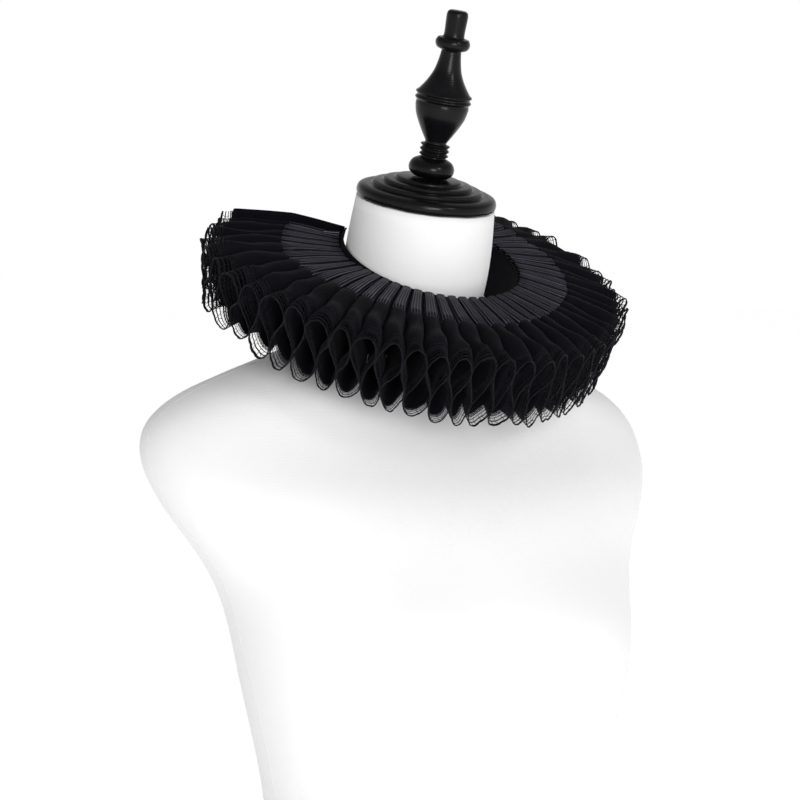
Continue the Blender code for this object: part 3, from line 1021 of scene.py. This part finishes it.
def turn_piece(name, profile, place, finish):
    """Spins a smooth profile of heights and radii, in millimetres, into a closed turned piece."""
    knots = np.array(profile, dtype=float)
    fine = line_through(knots, np.linspace(0, len(knots) - 1, (len(knots) - 1) * PROFILE_PARTS + 1))
    outline = [(0.0, 0.0, fine[0][0])]
    outline += [(radius, 0.0, height) for height, radius in fine]
    outline.append((0.0, 0.0, fine[-1][0]))
    mesh = bpy.data.meshes.new(name)
    mesh.from_pydata((np.array(outline) * MM).tolist(), [(i, i + 1) for i in range(len(outline) - 1)], [])
    mesh.materials.append(finish)
    made = new_object(name, mesh)
    edit_whole(made)
    bpy.ops.mesh.spin(steps=TURNED_PARTS, angle=math.tau, center=(0, 0, 0), axis=(0, 0, 1))
    bpy.ops.mesh.select_all(action="SELECT")
    bpy.ops.mesh.remove_doubles(threshold=1e-6)
    bpy.ops.mesh.normals_make_consistent(inside=False)
    bpy.ops.object.mode_set(mode="OBJECT")
    mesh.transform(place)
    mesh.shade_smooth()
    bpy.ops.object.shade_smooth_by_angle(angle=math.radians(40))
    return made


class RUFF_OT_turnery(bpy.types.Operator):
    """Turn the black cap and its finial"""

    bl_idname = "ruff.turnery"
    bl_label = "Cap and Finial"

    def execute(self, context):
        finish = lacquer_finish(context.scene.ruff_form)
        base = Matrix.Translation(Vector(CAP_BASE) * MM) @ Matrix.Rotation(math.radians(NECK_LEAN), 4, "X")
        cap = turn_piece("turned_cap", CAP, base, finish)
        finish_piece(cap, "lacquered_wood", "neck_cap")
        leaning = base @ Matrix.Rotation(math.radians(FINIAL_SIDE), 4, "Y")
        finial = turn_piece("turned_finial", FINIAL, leaning, finish)
        finish_piece(finial, "lacquered_wood", "finial")
        return {"FINISHED"}


# The studio
def camera_axes():
    """The camera's right, its up and the direction back towards it."""
    turn, rise, roll = (math.radians(angle) for angle in (AZIMUTH, ELEVATION, ROLL))
    back = Vector((math.sin(turn) * math.cos(rise), -math.cos(turn) * math.cos(rise), math.sin(rise)))
    right = Vector((math.cos(turn), math.sin(turn), 0.0))
    up = back.cross(right)
    rolled = right * math.cos(roll) + up * math.sin(roll)
    return rolled, up * math.cos(roll) - right * math.sin(roll), back


def add_light(name, place, size, power):
    """A round light, placed from where the camera looks and turned to the middle of the form."""
    right, _, back = camera_axes()
    away, aside, up = place
    spot = Vector(AIM) + back * away + right * aside + Vector((0, 0, up))
    light = bpy.data.lights.new(name, "AREA")
    light.shape = "DISK"
    light.size = size
    light.energy = power
    made = new_object(name, light)
    made.location = spot
    made.rotation_mode = "QUATERNION"
    made.rotation_quaternion = (Vector(LIT_POINT) - spot).to_track_quat("-Z", "Y")


class RUFF_OT_stage(bpy.types.Operator):
    """Make the pale floor, the lights and the camera"""

    bl_idname = "ruff.stage"
    bl_label = "Studio"

    def execute(self, context):
        settings = context.scene.ruff_stage
        scene = context.scene
        bpy.ops.mesh.primitive_circle_add(
            vertices=96, radius=settings.floor_radius, fill_type="NGON", location=(0, 0, 0)
        )
        floor = context.active_object
        floor.name = "studio_floor"
        edit_whole(floor)
        bpy.ops.mesh.inset(thickness=0.05, depth=0.0)
        bpy.ops.object.mode_set(mode="OBJECT")
        outward(floor)
        floor.data.materials.append(floor_finish(settings))

        world = bpy.data.worlds.new("studio_surround")
        scene.world = world
        world.use_nodes = True
        surround = world.node_tree.nodes["Background"]
        tree = Nodes(world.node_tree)
        place = tree.node("ShaderNodeTexCoord")
        rise = tree.node("ShaderNodeSeparateXYZ", None, {0: place}, output="Z")
        shades = ((SKY_STOPS[0], (1.0, 1.0, 1.0)), (SKY_STOPS[1], (settings.overhead,) * 3))
        tree.feed(surround.inputs["Color"], tree.colours(rise, shades))
        surround.inputs["Strength"].default_value = settings.sky
        scene.view_settings.view_transform = "Standard"

        add_light("key", KEY_PLACE, KEY_SIZE, settings.key)
        add_light("fill", FILL_PLACE, FILL_SIZE, settings.fill)

        camera = bpy.data.cameras.new("camera")
        camera.lens = LENS
        camera.sensor_width = SENSOR
        holder = new_object("camera", camera)
        right, up, back = camera_axes()
        matrix = Matrix((right, up, back)).transposed().to_4x4()
        matrix.translation = Vector(AIM) + back * DISTANCE
        holder.matrix_world = matrix
        scene.camera = holder
        return {"FINISHED"}


OPERATORS = (
    RUFF_OT_ribbon,
    RUFF_OT_cloth,
    RUFF_OT_lace,
    RUFF_OT_neckband,
    RUFF_OT_opening,
    RUFF_OT_form,
    RUFF_OT_turnery,
    RUFF_OT_stage,
)
GROUPS = (
    ("ruff_strip", RUFF_PG_strip),
    ("ruff_lace", RUFF_PG_lace),
    ("ruff_form", RUFF_PG_form),
    ("ruff_stage", RUFF_PG_stage),
)


class VIEW3D_PT_ruff(bpy.types.Panel):
    """The collar's sizes, colours and pieces"""

    bl_label = "Ruff Collar"
    bl_idname = "VIEW3D_PT_ruff"
    bl_space_type = "VIEW_3D"
    bl_region_type = "UI"
    bl_category = "Ruff Collar"

    def draw(self, context):
        for name, group in GROUPS:
            box = self.layout.box()
            for value in group.__annotations__:
                box.prop(getattr(context.scene, name), value)
        for operator in OPERATORS:
            self.layout.operator(operator.bl_idname)


def register():
    for name, group in GROUPS:
        bpy.utils.register_class(group)
        setattr(bpy.types.Scene, name, bpy.props.PointerProperty(type=group))
    for made in (*OPERATORS, VIEW3D_PT_ruff):
        bpy.utils.register_class(made)


def unregister():
    for made in (VIEW3D_PT_ruff, *reversed(OPERATORS)):
        bpy.utils.unregister_class(made)
    for name, group in reversed(GROUPS):
        delattr(bpy.types.Scene, name)
        bpy.utils.unregister_class(group)


def main():
    register()
    bpy.ops.ruff.stage()
    bpy.ops.ruff.form()
    bpy.ops.ruff.turnery()
    bpy.ops.ruff.neckband()
    bpy.ops.ruff.ribbon()
    bpy.ops.ruff.cloth()
    bpy.ops.ruff.lace()
    bpy.ops.ruff.opening()


if __name__ == "__main__":
    main()
